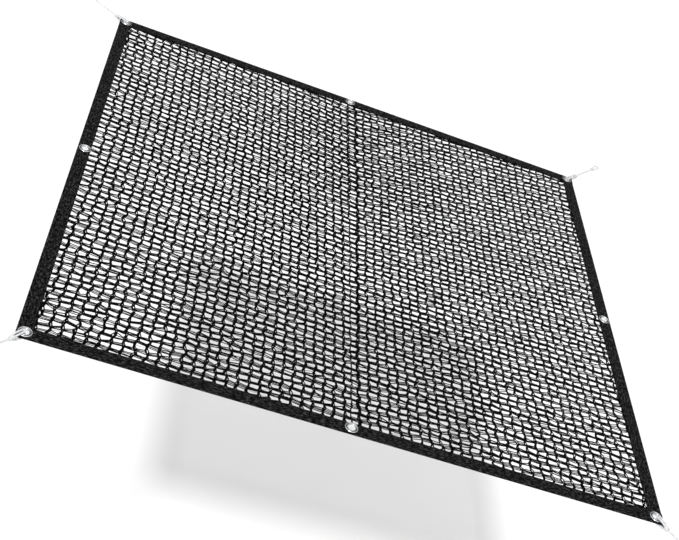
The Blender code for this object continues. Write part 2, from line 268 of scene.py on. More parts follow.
def end_loop():
    """The drop-shaped loop in the plane of the cloth: two legs that spread as a sine, and half a turn."""
    share = np.linspace(0.0, 1.0, LEG_STEPS, endpoint=False)
    apart = LEGS_APART + (LOOP_HALF_WIDTH - LEGS_APART) * np.sin(share * math.pi / 2)
    leg_start = END_KNOT_OUT + LEGS_START
    leg = np.stack([leg_start + (LOOP_TURN_OUT - leg_start) * share, apart, 0 * share], axis=1)
    angle = np.linspace(math.pi / 2, -math.pi / 2, TURN_STEPS + 1)
    turn = np.stack([np.cos(angle), np.sin(angle), 0 * angle], axis=1) * LOOP_HALF_WIDTH
    turn += (LOOP_TURN_OUT, 0.0, 0.0)
    back = leg[::-1] * (1.0, -1.0, 1.0)
    return braided(smooth_line(np.vstack([leg, turn, back]), CORD_STEP), (0.0, 0.0, 1.0))


def set_sockets(look, node, given, fed):
    """Gives sockets of a node their values, and feeds others with outputs of other nodes."""
    for socket, value in given.items():
        node.inputs[socket].default_value = value
    for socket, output in fed.items():
        look.node_tree.links.new(output, node.inputs[socket])


def new_look(name, finish):
    """A material with its finish: the value of each socket of its shader that is the same all over it."""
    look = bpy.data.materials.new(name)
    look.use_nodes = True
    set_sockets(look, look.node_tree.nodes["Principled BSDF"], finish, {})
    return look


def vary(look, socket, output):
    """Lets an output set a socket of the material's shader."""
    set_sockets(look, look.node_tree.nodes["Principled BSDF"], {}, {socket: output})


def new_node(look, kind, given, fed):
    """A node of that kind in the material, with its sockets set."""
    node = look.node_tree.nodes.new(kind)
    set_sockets(look, node, given, fed)
    return node


def measured(look, measure, scale, turn=0.0):
    """The place of a point on the piece, on its Object or its UV measure, scaled and then turned."""
    place = new_node(look, "ShaderNodeTexCoord", {}, {}).outputs[measure]
    given = {"Rotation": (0.0, 0.0, turn), "Scale": scale}
    return new_node(look, "ShaderNodeMapping", given, {"Vector": place}).outputs["Vector"]


def noise(look, place, detail):
    """A noise of about one patch for each unit of the measured place."""
    given = {"Scale": 1.0, "Detail": detail}
    return new_node(look, "ShaderNodeTexNoise", given, {"Vector": place}).outputs["Fac"]


def shaded(look, value, dark_at, dark, light_at, light):
    """Dark up to one value, light from another, and mixed in between."""
    shades = new_node(look, "ShaderNodeValToRGB", {}, {"Fac": value})
    for end, at, colour in zip(shades.color_ramp.elements, (dark_at, light_at), (dark, light)):
        end.position = at
        end.color = (*colour, 1.0)
    return shades.outputs["Color"]


def ranged(look, value, at_nought, at_one):
    """A number that goes evenly from the first to the second as the value goes from 0 to 1."""
    given = {"To Min": at_nought, "To Max": at_one}
    return new_node(look, "ShaderNodeMapRange", given, {"Value": value}).outputs["Result"]


def relief(look, height, strength, distance, sunk=False):
    """A bump that is highest where the height is 1 or, when it is sunk, where that is 0."""
    given = {"Strength": strength, "Distance": distance}
    bump = new_node(look, "ShaderNodeBump", given, {"Height": height})
    bump.invert = sunk
    return bump.outputs["Normal"]


def cord_look():
    """White polyester: fine filaments that run along the cord, and a little grime in patches."""
    look = new_look("white_braided_cord", {"Roughness": 0.62, "Sheen Weight": 0.15})
    patches = noise(look, measured(look, "Object", scale=(260.0, 260.0, 260.0)), detail=3.0)
    shades = shaded(look, patches, dark_at=0.3, dark=SHADED_CORD, light_at=0.62, light=WHITE_CORD)
    vary(look, "Base Color", shades)
    drawn_out = measured(look, "UV", scale=(6500.0, 900.0, 1.0), turn=math.radians(42))
    filaments = noise(look, drawn_out, detail=2.0)
    vary(look, "Normal", relief(look, filaments, strength=0.5, distance=0.12 * MM))
    return look


def at_eyelet(shape, eyelet, heading):
    """Turns a shape from the tie's own axes to its heading, and puts it at its eyelet."""
    turned = np.array(Matrix.Rotation(heading, 3, "Z"))
    return (shape[0] @ turned.T + np.array(eyelet), *shape[1:])


white_cord = cord_look()
for corner, degrees, knot_out in TIES:
    eyelet = middle_of("eyelet_" + corner)
    heading = math.radians(degrees)
    starts_out = knot_out + KNOT_HALF + KNOT_GAP
    ends_out = END_KNOT_OUT - KNOT_HALF - KNOT_GAP
    length = ends_out - starts_out
    tight = np.array([(starts_out - LINE_TUCKED, 0.0, 0.0), (ends_out + LINE_TUCKED, 0.0, 0.0)])
    line = braided(spaced(tight, CORD_STEP), (0.0, 0.0, 1.0))
    hitch = [hitch_strand(-1, knot_out), hitch_strand(1, knot_out), wrapped_knot(knot_out)]
    loop = [wrapped_knot(END_KNOT_OUT), end_loop()]
    parts = (("line", [line], "cord"), ("hitch", hitch, "hitch"), ("end_loop", loop, "loop"))
    for part, shapes, stands_for in parts:
        placed = [at_eyelet(shape, eyelet, heading) for shape in shapes]
        new_piece("tie_" + part + "_" + corner, placed, white_cord)
        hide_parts(stands_for + "_" + corner)

# The wales
# Upright rows of chain stitches hold the net together. Each is knitted from one flat tape of black
# polyethylene, and every loop is drawn up through the loop below it and goes on to the next behind it.

binding_low, binding_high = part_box("binding_near")
HALF_SIDE = (binding_high.x - binding_low.x) / 2
BINDING_WIDTH = binding_high.y - binding_low.y
MOUTH = HALF_SIDE - BINDING_WIDTH  # where the net goes in between the leaves of the binding
WALE_TUCKED = 1.5 * MM  # how far into the binding a wale runs
TUCK_SHARE = 0.13  # the net is bunched to this share of its length in there
TUCK_FLAT = 0.3  # and its height to this share
FLATTENS_OVER = 2.0 * MM  # which it comes down to over this length, before the binding

WALE_PITCH = 16.73 * MM
FIRST_LEFT, LEFT_WALES = -28.2 * MM, 28
FIRST_RIGHT, RIGHT_WALES = 16.0 * MM, 29
THIN_WALE = -14.9 * MM
DOUBLED_WALE = (-2.15 * MM, 0.35 * MM)
WALE_PULL = 0.034  # the net is pulled to its corners, so it is this much narrower half way along
WALE_CROWDING = 0.028  # the wales lie this much closer at the middle than at the sides
WALE_LEAN = -0.006  # and at the middle they run this much to the left for each metre along
FIRST_STITCH = 13.87 * MM  # the length of the stitches at the near side, in the middle
STITCH_GROWTH = 2.2 * MM  # what a stitch a metre on is longer by
COURSE_TILTS = (0.109, 0.122)  # how steeply the courses climb to the left and to the right, at the far end
TILT_STARTS, TILT_ENDS = 0.12, 0.97  # how far along, from the near edge
COURSE_SETTLE = 4.3 * MM  # the courses of the far half lie this much nearer
SETTLE_STARTS, SETTLE_ENDS = 0.4, 0.8
FIRST_COURSE, COURSES = 0.5, 69  # in stitches from the near edge
COURSE_DROOP = 12.0 * MM  # how far they drop at the near corners
DROOP_ENDS = 0.25  # how far along, from the near edge
CORNER_PULL = 11.0 * MM  # how far the wales are pulled out at the near right corner
PULL_ENDS = 0.45  # how far along, from the near edge
PARTED_ALONG = (0.15, 0.45, 0.65, 1.0)  # in metres from the near edge
PARTED = (-1.7 * MM, 0.3 * MM, 3.8 * MM, 2.8 * MM)  # how far the two halves lie apart there, each way
PARTED_FAR_OUT = 0.4  # how far from the middle nothing is left of that
ZIGZAG = 1.25 * MM  # the wales go this much out above each second course, and in above the others
TAPE_HALF_WIDTH = 1.05 * MM
TAPE_HALF_THICK = 0.55 * MM
RIDGED = np.array([(1.0, -0.7), (0.0, 1.0), (-1.0, -0.7)])  # the section of a tape folded lengthwise
LOOP_SIZES = (0.85, 1.15)  # how narrow and how wide a stitch may be, for its size
THIN_SIZE = (0.62, 1.1)  # the size of the thin wale's stitches at its near end, and at its far end
THIN_COURSES = (38, 46)  # where its size changes
DOUBLED_SIZE = 0.75  # the size of the doubled wale's stitches
PATTERN_SHIFT = 0.37  # how far the pattern moves on from strand to strand

# The left leg of a stitch from its foot: across in millimetres, along in shares of the stitch, and up in
# millimetres. The right leg is its mirror image, and behind them the tape goes on to the next stitch.
LEFT_LEG = (
    (-0.50, -0.10, -0.60),
    (-0.75, 0.03, 0.10),
    (-1.40, 0.20, 0.60),
    (-2.05, 0.42, 0.45),
    (-2.15, 0.64, 0.20),
    (-1.60, 0.86, -0.10),
    (-0.90, 1.04, -0.32),
)
STITCH_HEAD = (0.0, 1.12, -0.4)
STITCH_BEHIND = (0.75, 0.4, -1.0)
right_leg = [(-across, along, up) for across, along, up in reversed(LEFT_LEG)]
STITCH = np.array([*LEFT_LEG, STITCH_HEAD, *right_leg, STITCH_BEHIND])

# The waver of the net: how far it goes, and how many radians it turns through in a metre, about
chance = np.random.default_rng(20)
WAVERS = ((0.7 * MM, 34.0), (1.25 * MM, 190.0))
WAVES_EACH = 20
WAVES = np.concatenate([chance.normal(0.0, quick, (WAVES_EACH, 2)) for _, quick in WAVERS])
WAVE_SIZES = np.concatenate([np.full(WAVES_EACH, far / math.sqrt(WAVES_EACH)) for far, _ in WAVERS])
WAVE_STARTS = chance.uniform(0.0, math.tau, (len(WAVES), 2))


def eased(value, start, end):
    """0 before the start, 1 past the end, and the smooth cubic between them."""
    share = np.clip((value - start) / (end - start), 0.0, 1.0)
    return share**2 * (3 - 2 * share)


def laid(loose):
    """Where points of the net come to lie in the cloth, from their place across the loose net, their number
    of stitches from the near edge, and their height. Across, the net is drawn in by parabolas, its halves
    part along a broken line, its near right corner is pulled out as a cube, and the wales zigzag as a
    cosine. Along, the distance is a tangent of the number of stitches, because these grow longer. A tilt to
    both sides and a settling set in smoothly, and a droop is taken off at the near corners. Sums of sines
    make the rows waver, and the net is bunched and flattened between the leaves of the binding."""
    across, stitches, up = loose[..., 0], loose[..., 1], loose[..., 2]
    reach = math.sqrt(FIRST_STITCH / STITCH_GROWTH)
    along = reach * np.tan(stitches * math.sqrt(FIRST_STITCH * STITCH_GROWTH))
    outwards = (across / HALF_SIDE) ** 2
    tilt = np.where(across < 0, *COURSE_TILTS) * abs(across) * eased(along, TILT_STARTS, TILT_ENDS)
    settle = COURSE_SETTLE * eased(along, SETTLE_STARTS, SETTLE_ENDS)
    droop = COURSE_DROOP * outwards**2 * np.clip(1 - along / DROOP_ENDS, 0.0, 1.0)
    y = along - HALF_SIDE + tilt - settle - droop
    bow = 1 - (y / HALF_SIDE) ** 2
    x = across * (1 - WALE_PULL * bow) * (1 - WALE_CROWDING * (1 - outwards))
    x = x + WALE_LEAN * y * (1 - outwards)
    way = np.clip((across - THIN_WALE) / (DOUBLED_WALE[0] - THIN_WALE), -1.0, 1.0)
    x = x + way * np.interp(along, PARTED_ALONG, PARTED) * (1 - abs(across) / PARTED_FAR_OUT)
    to_right = np.maximum(across / HALF_SIDE, 0.0)
    x = x + CORNER_PULL * to_right**3 * np.clip(1 - along / PULL_ENDS, 0.0, 1.0)
    x = x + ZIGZAG * way * np.cos(math.pi * stitches)
    phase = np.stack([across, along], axis=-1) @ WAVES.T
    place = np.stack([x, y], axis=-1)
    place = place + np.stack([np.sin(phase + start) @ WAVE_SIZES for start in WAVE_STARTS.T], axis=-1)
    past = np.maximum(abs(place) - MOUTH, 0.0)
    place = place - np.sign(place) * past * (1 - TUCK_SHARE)
    inside = np.clip((abs(place).max(axis=-1) - MOUTH) / FLATTENS_OVER + 1, 0.0, 1.0)
    height = up * (1 - (1 - TUCK_FLAT) * inside)
    return np.stack([place[..., 0], place[..., 1], height], axis=-1)


def carried(lines, profile, half_width, half_thick):
    """Flat strands along many lines of equal numbers of points. A ring is the line's point plus the
    profile, its width square to the heading and level, and its thickness square to both. Where a line turns
    back on itself the width keeps its side, so that the strand bends and isn't twisted. A width is one
    number for all, or one for each line or each point."""
    heading = unit(np.gradient(lines, axis=1))
    side = unit(np.cross((0.0, 0.0, 1.0), heading))
    turned = np.sign((side[:, 1:] * side[:, :-1]).sum(-1))
    keep = np.cumprod(np.concatenate([np.ones((len(lines), 1)), turned], axis=1), axis=1)
    side = side * keep[..., None]
    other = np.cross(heading, side)
    wide = np.broadcast_to(half_width, lines.shape[:2])[..., None, None] * profile[:, :1]
    thick = np.broadcast_to(half_thick, lines.shape[:2])[..., None, None] * profile[:, 1:]
    points = lines[:, :, None] + side[:, :, None] * wide + other[:, :, None] * thick
    lengths = np.linalg.norm(np.diff(lines, axis=1), axis=2)
    along = np.concatenate([np.zeros((len(lines), 1)), np.cumsum(lengths, axis=1)], axis=1)
    along = along + np.arange(len(lines))[:, None] * PATTERN_SHIFT
    sides, ends = rolled_faces(len(lines), lines.shape[1], len(profile))
    girth = 4 * float(np.max(half_width))
    flat = unrolled(along, len(profile), girth)
    return points.reshape(-1, 3) + np.array(cloth_middle), sides, ends, flat


def wale(across, size=1.0):
    """A chain of stitches at one place across the loose net, long enough to end inside both bindings. Each
    is open around its course and tight half way to the next, and some are wider than others by chance. The
    last point of a stitch changes sides from one stitch to the next."""
    first = np.arange(COURSES)[:, None]
    size = np.broadcast_to(size, COURSES)[:, None]
    wide = size * chance.uniform(*LOOP_SIZES, (COURSES, 1))
    is_last = np.arange(len(STITCH)) == len(STITCH) - 1
    sideways = np.where(is_last & (first % 2 == 1), -1, 1) * STITCH[:, 0]
    chain = np.broadcast_arrays(across + wide * MM * sideways, first + STITCH[:, 1], MM * STITCH[:, 2])
    line = laid(np.stack(chain, axis=-1).reshape(-1, 3))
    kept = abs(line[:, 1]) < MOUTH + WALE_TUCKED
    half_width = TAPE_HALF_WIDTH * np.repeat(size, len(STITCH))[kept]
    return carried(line[None, kept], RIDGED, half_width, TAPE_HALF_THICK)


def tape_look(name, dark, light, roughness):
    """Black polyethylene film: grey where the stretched film has whitened, and drawn into fine lengthwise
    lines, which the bump raises."""
    look = new_look(name, {"Specular IOR Level": 0.04})
    lines = noise(look, measured(look, "UV", scale=(2600.0, 130.0, 1.0)), detail=4.0)
    vary(look, "Base Color", shaded(look, lines, dark_at=0.42, dark=dark, light_at=0.72, light=light))
    rough, smooth = roughness + UNEVEN_GLOSS, roughness - UNEVEN_GLOSS
    vary(look, "Roughness", ranged(look, lines, at_nought=rough, at_one=smooth))
    vary(look, "Normal", relief(look, lines, strength=0.6, distance=0.1 * MM))
    return look


UNEVEN_GLOSS = 0.12  # how much rougher or smoother the film is in places
TAPE_BLACK = (0.0005, 0.0005, 0.0005)
WHITENED_BLACK = (0.006, 0.006, 0.0065)
wale_black = tape_look("black_knitted_tape", TAPE_BLACK, WHITENED_BLACK, roughness=0.36)
left_places = FIRST_LEFT - WALE_PITCH * np.arange(LEFT_WALES)
right_places = FIRST_RIGHT + WALE_PITCH * np.arange(RIGHT_WALES)
thin_size = np.interp(np.arange(COURSES), THIN_COURSES, THIN_SIZE)
left_half = [wale(place) for place in left_places] + [wale(THIN_WALE, thin_size)]
right_half = [wale(place, DOUBLED_SIZE) for place in DOUBLED_WALE] + [wale(place) for place in right_places]
wales_left = new_piece("net_wales_left", left_half, wale_black)
wales_right = new_piece("net_wales_right", right_half, wale_black)

# The inlaid tapes
# Between each two wales a tape of the same film goes to and fro, and the stitches catch it at each course.
# It goes out in three folds, as a dark rung, and comes back split into a fan of four ribbons.

INLAY_DOWN = -0.45 * MM  # it passes between the legs of a stitch and the strand behind them
INLAY_ENDS_IN = 1.5 * MM  # a tape that lies this far inside a binding isn't made
IN_WALE = 0.14  # the share of its way that a tape goes inside a wale, at each end
DRAWN_IN = 0.4  # and the stitch draws its strands together there to this share of their distance
BUSY_ASIDE = 0.22  # how far from the middle the net is busier with strands, in its far half
BUSY_STARTS, BUSY_ENDS = 0.55, 0.75  # how far along that sets in, from the near edge
BUSY_FULLER = 0.12  # the tapes are this much fuller there
RIGHT_FULLER = 0.06  # and this much to the right of the middle
RIGHT_EASED = 0.15  # how far from the middle that has set in

# How unlike each other the tapes and their strands are, by chance
CLOSENESS = (0.8, 1.15)  # of a tape's strands, as shares of their spacing
LEVEL_SPREAD = 0.3 * MM  # of a tape beside its course
CLIMB_SPREAD = 0.4 * MM  # of how far a tape climbs
ENDS_SPREAD = 0.22 * MM  # of each end of a strand
TAPE_BOW_SPREAD, STRAND_BOW_SPREAD = 0.3 * MM, 0.2 * MM
LIFT, LIFT_SPREAD = 0.2 * MM, 0.2 * MM  # of a strand half way across
WIDTH_SPREAD = 0.14  # of a strand, as a share of its width
MESSY_CLIMB, MESSY_BOW = 2.5 * MM, 2.2 * MM  # of a strand that is out of line
RARE, BUSY_RARE = 5, 2  # the higher, the fewer of them, in most of the net and where it is busy

places = np.sort(np.concatenate([left_places, [THIN_WALE, np.mean(DOUBLED_WALE)], right_places]))
places = np.concatenate([[places[0] - WALE_PITCH], places, [places[-1] + WALE_PITCH]])
grids = np.meshgrid(np.arange(len(places) - 1), np.arange(COURSES), indexing="ij")
gap, course = (grid.ravel() for grid in grids)
gap_middle = (places[gap] + places[gap + 1]) / 2
on_left = gap_middle < np.mean(DOUBLED_WALE)
tape_middle = laid(np.stack([gap_middle, course + FIRST_COURSE, 0.0 * course], axis=-1))
shows = abs(tape_middle[:, :2]).max(axis=-1) < MOUTH + INLAY_ENDS_IN
busy = np.clip(1 - abs(tape_middle[:, 0]) / BUSY_ASIDE, 0.0, 1.0)
busy = busy * eased(tape_middle[:, 1] + HALF_SIDE, BUSY_STARTS, BUSY_ENDS)
extra = BUSY_FULLER * busy + RIGHT_FULLER * eased(tape_middle[:, 0], 0.0, RIGHT_EASED)


def unlike(count, strands, spread):
    """Small differences by chance: one for each strand of each tape, or one for each tape."""
    return chance.normal(0.0, spread, (count, strands))


def inlay(chosen, start, end, bow, lift):
    """Lines from the middle of the left wale to the middle of the right one, for each chosen gap and
    strand. They run straight from a start to an end beside the course, plus a bow and a lift that are
    sines of the way across. Inside the wales the strands of a tape are drawn towards their mean."""
    share = np.array([0.0, IN_WALE, 1 - IN_WALE, 1.0])
    left, right = (places[gap[chosen] + side][:, None, None] for side in (0, 1))
    beside = start[..., None] + (end - start)[..., None] * share + bow[..., None] * np.sin(math.pi * share)
    mean = beside.mean(axis=1, keepdims=True)
    beside = mean + (beside - mean) * np.array([DRAWN_IN, 1.0, 1.0, DRAWN_IN])
    across = left + (right - left) * share + 0 * beside
    stitches = course[chosen][:, None, None] + FIRST_COURSE + beside / FIRST_STITCH
    up = INLAY_DOWN + lift[..., None] * np.sin(math.pi * share)
    return laid(np.stack([across, stitches, up], axis=-1).reshape(-1, len(share), 3))


def inlaid_tapes(chosen, strands, spacing, widen, climb, half_width, half_thick):
    """The strands of the chosen tapes: side by side, closer in some tapes than in others, and here and
    there out of line. Towards the middle of the cloth a tape climbs, or falls, and its strands spread, or
    close up. It is fuller and more often out of line where the net is busy."""
    count = len(chosen)
    order = np.arange(strands) - (strands - 1) / 2
    busier = busy[chosen][:, None]
    fuller = 1 + extra[chosen][:, None]
    apart = order * spacing * fuller * chance.uniform(*CLOSENESS, (count, 1))
    messy = chance.uniform(0.0, 1.0, (count, 1)) ** (RARE + (BUSY_RARE - RARE) * busier)
    inward = np.where(on_left[chosen], 1, -1)[:, None]
    climb = climb * inward + unlike(count, 1, CLIMB_SPREAD) + messy * unlike(count, strands, MESSY_CLIMB)
    level = unlike(count, 1, LEVEL_SPREAD)
    start = level + apart * (1 - widen * inward) + unlike(count, strands, ENDS_SPREAD) - climb / 2
    end = level + apart * (1 + widen * inward) + unlike(count, strands, ENDS_SPREAD) + climb / 2
    bow = unlike(count, 1, TAPE_BOW_SPREAD) + unlike(count, strands, STRAND_BOW_SPREAD)
    bow = bow + messy * unlike(count, strands, MESSY_BOW)
    lift = LIFT + unlike(count, strands, LIFT_SPREAD)
    lines = inlay(chosen, start, end, bow, lift)
    fuller = np.repeat(fuller, strands, axis=0)
    width = half_width * fuller * (1 + unlike(len(lines), 1, WIDTH_SPREAD))
    return carried(lines, RIDGED, width, half_thick * fuller)


rungs = np.flatnonzero(shows & (course % 2 == 1))
rung_shape = inlaid_tapes(
    rungs,
    strands=3,
    spacing=2.35 * MM,
    widen=0.3,
    climb=1.35 * MM,
    half_width=1.05 * MM,
    half_thick=0.7 * MM,
)
rung_black = tape_look("black_folded_tape", TAPE_BLACK, WHITENED_BLACK, roughness=0.34)
net_rungs = new_piece("net_rungs", [rung_shape], rung_black)

FAN_BLACK = (0.0008, 0.0008, 0.0009)
WHITENED_FAN = (0.012, 0.012, 0.013)
fan_black = tape_look("black_split_tape", FAN_BLACK, WHITENED_FAN, roughness=0.34)
fan_pieces = []
for half, in_half in (("left", on_left), ("right", ~on_left)):
    fans = np.flatnonzero(shows & (course % 2 == 0) & in_half)
    fan_shape = inlaid_tapes(
        fans,
        strands=4,
        spacing=2.25 * MM,
        widen=-0.05,
        climb=-1.95 * MM,
        half_width=0.9 * MM,
        half_thick=0.55 * MM,
    )
    fan_pieces.append(new_piece("net_fans_" + half, [fan_shape], fan_black))

# The split fibres
# Fine fibres of the same film have split off the tapes in the knitting. They lie across the openings from
# one wale to the next, and are caught in the stitches.

FIBRE_SHARE, BUSY_SHARE = 0.3, 0.6  # of the openings have some, and so many more where the net is busy
FIBRES = 2  # in each of these
FIBRE_STARTS = (0.5 * MM, 9.0 * MM)  # past the course
FIBRE_APART = 1.5 * MM
FIBRE_SLANT, FIBRE_SLANT_APART = 3.0 * MM, 0.8 * MM
FIBRE_BOW = 0.8 * MM
FIBRE_HALF_WIDTHS = (0.14 * MM, 0.34 * MM)
FIBRE_HALF_THICK = 0.1 * MM

opening = np.flatnonzero(shows & (chance.uniform(0.0, 1.0, len(gap)) < FIBRE_SHARE + BUSY_SHARE * busy))
openings = len(opening)
fibre_start = chance.uniform(*FIBRE_STARTS, (openings, 1)) + unlike(openings, FIBRES, FIBRE_APART)
fibre_slant = unlike(openings, 1, FIBRE_SLANT) + unlike(openings, FIBRES, FIBRE_SLANT_APART)
fibre_bow = unlike(openings, FIBRES, FIBRE_BOW)
fibre_lines = inlay(opening, fibre_start, fibre_start + fibre_slant, fibre_bow, 0 * fibre_start)
fibre_widths = chance.uniform(*FIBRE_HALF_WIDTHS, (len(fibre_lines), 1))
fibre_shape = carried(fibre_lines, RIDGED, fibre_widths, FIBRE_HALF_THICK)
net_fibres = new_piece("net_split_fibres", [fibre_shape], fan_black)

for piece in (wales_left, wales_right, net_rungs, *fan_pieces, net_fibres):
    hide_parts("net")

# The binding
# Four strips of black woven tape, 45 mm wide, are folded over the edges of the net. The near and far strips
# run the whole side and the other two fit between them. Each is punched where an eyelet goes through.

TAPE_THICK = 0.65 * MM
LEAF_UP = 1.5 * MM  # from the middle of the cloth to the outer face of a leaf
PINCHED_UP = 1.32 * MM  # and where the sewing draws the two leaves together
FOLD_DEEP = 1.3 * MM
FOLD_STEPS = 6
SEAM_IN = BINDING_WIDTH - 3.0 * MM  # from the fold to the line of stitches
PAST_SEAM, PARTED_UP = 1.5 * MM, 1.42 * MM  # past it the leaves lie a little farther apart again
STRIP_STEP = 8.0 * MM
HOLE_IN = 12.5 * MM  # from the fold to the middle of a hole
HOLE_RADIUS = 6.3 * MM
# Each strip's side, its turn, and the eyelets on it, from its own left to its right
STRIPS = (
    ("near", 0.0, ("near_left", "near_middle", "near_right")),
    ("far", math.pi, ("far_right", "far_middle", "far_left")),
    ("left", -math.pi / 2, ("left_middle",)),
    ("right", math.pi / 2, ("right_middle",)),
)
# A hole takes the place of three by three fields between these lines of the grid
HOLE_FIELDS = 3
HOLE_LINES = np.array([-1.0, -math.tan(math.pi / 12), math.tan(math.pi / 12), 1.0]) * HOLE_RADIUS
# The rim of that square, one point after another: along the strip, and across it
HOLE_RIM = np.array(
    [(0, 0), (0, 1), (0, 2), (0, 3), (1, 3), (2, 3), (3, 3), (3, 2), (3, 1), (3, 0), (2, 0), (1, 0)]
)
# The ripple of the leaves: radians in a metre, and where each wave starts
RIPPLES = ((170.0, 0.0), (263.0, 1.7), (71.0, 0.6))
RIPPLE_UP = 0.09 * MM
RIPPLE_FADES = 20.0 * MM  # over this length, before the ends of the net


def strip_profile():
    """The outer and the inner line of a folded tape's section, as distance from the fold and height: a
    half ellipse at the fold, two flat leaves, and a dip along the seam."""
    angle = np.linspace(0.0, math.pi / 2, FOLD_STEPS)[1:]
    fold = np.stack([FOLD_DEEP * (1 - np.cos(angle)), LEAF_UP * np.sin(angle)], axis=1)
    leaf_in = np.append(HOLE_IN + HOLE_LINES, [SEAM_IN, SEAM_IN + PAST_SEAM, BINDING_WIDTH])
    leaf_up = np.append(np.full(len(HOLE_LINES), LEAF_UP), [PINCHED_UP, PARTED_UP, PINCHED_UP])
    upper = np.concatenate([fold, np.stack([leaf_in, leaf_up], axis=1)])
    outer = np.concatenate([upper[::-1], [[0.0, 0.0]], upper * (1, -1)])
    inward = unit(np.gradient(outer, axis=0)) @ np.array([[0.0, 1.0], [-1.0, 0.0]])
    return outer, outer + inward * TAPE_THICK


def strip_places(length, holes):
    """Where the sections lie along a strip: evenly spaced, and four of them at each hole."""
    rims = [hole + HOLE_LINES[[0, -1]] for hole in holes]
    ends = np.concatenate([[-length / 2], *rims, [length / 2]]).reshape(-1, 2)
    runs = [np.linspace(start, stop, math.ceil((stop - start) / STRIP_STEP) + 1) for start, stop in ends]
    insides = [hole + HOLE_LINES[1:-1] for hole in holes] + [np.empty(0)]
    return np.concatenate([part for pair in zip(runs, insides) for part in pair])


def ripple(along, distance):
    """How far the leaves rise or sink together: three sines of the place along the strip, which fade out at
    its ends, and grow from the fold to the inner edge."""
    waves = sum(np.sin(along * quick + start) for quick, start in RIPPLES)
    faded = np.clip((MOUTH - abs(along)) / RIPPLE_FADES, 0.0, 1.0)
    return RIPPLE_UP * waves * faded * distance / BINDING_WIDTH


def strip_shape(length, middle, turn, holes):
    """A folded strip along its own X with its fold at y = 0: the section carried along its length, with a
    slight ripple, then turned and put in its place. At a hole the fields of the grid are left out of all
    four faces, the rim is moved to a circle, and a wall joins each leaf's two faces round it."""
    outer, inner = strip_profile()
    section = np.concatenate([outer, inner[::-1]])
    along = strip_places(length, holes)
    rings, around, half = len(along), len(section), len(outer)
    points = np.empty((rings, around, 3))
    points[..., 0] = along[:, None]
    points[..., 1] = section[:, 0]
    points[..., 2] = section[:, 1] + ripple(along[:, None], section[:, 0])
    index = np.arange(rings * around).reshape(rings, around)
    kept = np.ones((rings - 1, around), bool)
    walls = []
    for hole in holes:
        first = np.argmin(abs(along - hole - HOLE_LINES[0]))
        upper_line = half // 2 - FOLD_STEPS - HOLE_FIELDS
        for line in (upper_line, half - 1 - HOLE_FIELDS - upper_line):
            ring, on_outer = first + HOLE_RIM[:, 0], line + HOLE_RIM[:, 1]
            on_inner = around - 1 - on_outer
            for side in (on_outer, on_inner):
                out = points[ring, side, :2] - (hole, HOLE_IN)
                points[ring, side, :2] = unit(out) * HOLE_RADIUS + (hole, HOLE_IN)
            fields = kept[first : first + HOLE_FIELDS]
            fields[:, line : line + HOLE_FIELDS] = False
            fields[:, around - 1 - HOLE_FIELDS - line : around - 1 - line] = False
            rims = index[ring, on_outer], index[ring, on_inner]
            after = [np.roll(rim, -1) for rim in rims]
            walls.append(np.stack([rims[0], after[0], after[1], rims[1]], axis=1))
    sides, _ = rolled_faces(1, rings, around)
    reached = np.concatenate([[0.0], np.cumsum(np.linalg.norm(np.diff(section, axis=0), axis=1))])
    onward = np.append(reached[1:], reached[-1] + TAPE_THICK)
    flat = np.empty((rings - 1, around, 4, 2))
    flat[..., 0] = np.stack([along[:-1], along[:-1], along[1:], along[1:]], axis=-1)[:, None]
    flat[..., 1] = np.stack([reached, onward, onward, reached], axis=-1)
    ends = []
    for ring, order in ((index[0], (0, 3, 2, 1)), (index[-1], (0, 1, 2, 3))):
        front, back = ring[:half], ring[half:][::-1]
        ends.append(np.stack([front[:-1], front[1:], back[1:], back[:-1]], axis=1)[:, order])
    sides = np.concatenate([sides[kept.ravel()], *walls])
    flat = np.concatenate([flat[kept], np.zeros((len(HOLE_RIM) * len(walls), 4, 2))]).reshape(-1, 2)
    corners = np.concatenate([sides.ravel(), np.concatenate(ends).ravel()])
    used, renumbered = np.unique(corners, return_inverse=True)
    placed = points.reshape(-1, 3)[used] @ np.array(Matrix.Rotation(turn, 3, "Z")).T + np.array(middle)
    return placed, renumbered[: sides.size].reshape(-1, 4), renumbered[sides.size :].reshape(-1, 4), flat


def woven_look():
    """Black polyester webbing: its warp floats over the weft in short lengths, each a little lighter or
    darker than the next, and the gaps between them are sunk and painted darker, as shade. Long light flecks
    are painted sheen, where the webbing would catch the light."""
    look = new_look("black_woven_tape", {"Roughness": 0.6, "Specular IOR Level": 0.05})
    weave = {
        "Color1": (0.006, 0.006, 0.0064, 1.0),
        "Color2": (0.105, 0.105, 0.11, 1.0),
        # The near-black mortar is painted shade in the gaps between the floats.
        "Mortar": (0.001, 0.001, 0.001, 1.0),
        "Scale": 1.0,
        "Mortar Size": 0.22,
        "Mortar Smooth": 1.0,
        "Bias": -0.1,
        "Brick Width": 2.4,
        "Row Height": 0.85,
    }
    in_mm = measured(look, "UV", scale=(1 / MM, 1 / MM, 1.0))
    floats = new_node(look, "ShaderNodeTexBrick", weave, {"Vector": in_mm})
    floats.offset = 0.37
    # Painted sheen: long flecks that lighten the colour where the webbing would catch the light.
    sheen_noise = noise(look, measured(look, "UV", scale=(150.0, 420.0, 1.0)), detail=1.0)
    painted_sheen = shaded(look, sheen_noise, dark_at=0.46, dark=(0.03,) * 3, light_at=0.59, light=(1.0,) * 3)
    both = look.node_tree.nodes.new("ShaderNodeMix")
    both.data_type = "RGBA"
    both.blend_type = "MULTIPLY"
    set_sockets(look, both, {"Factor": 1.0}, {"A": floats.outputs["Color"], "B": painted_sheen})
    vary(look, "Base Color", both.outputs["Result"])
    gaps = floats.outputs["Fac"]
    vary(look, "Normal", relief(look, gaps, strength=0.8, distance=0.25 * MM, sunk=True))
    return look


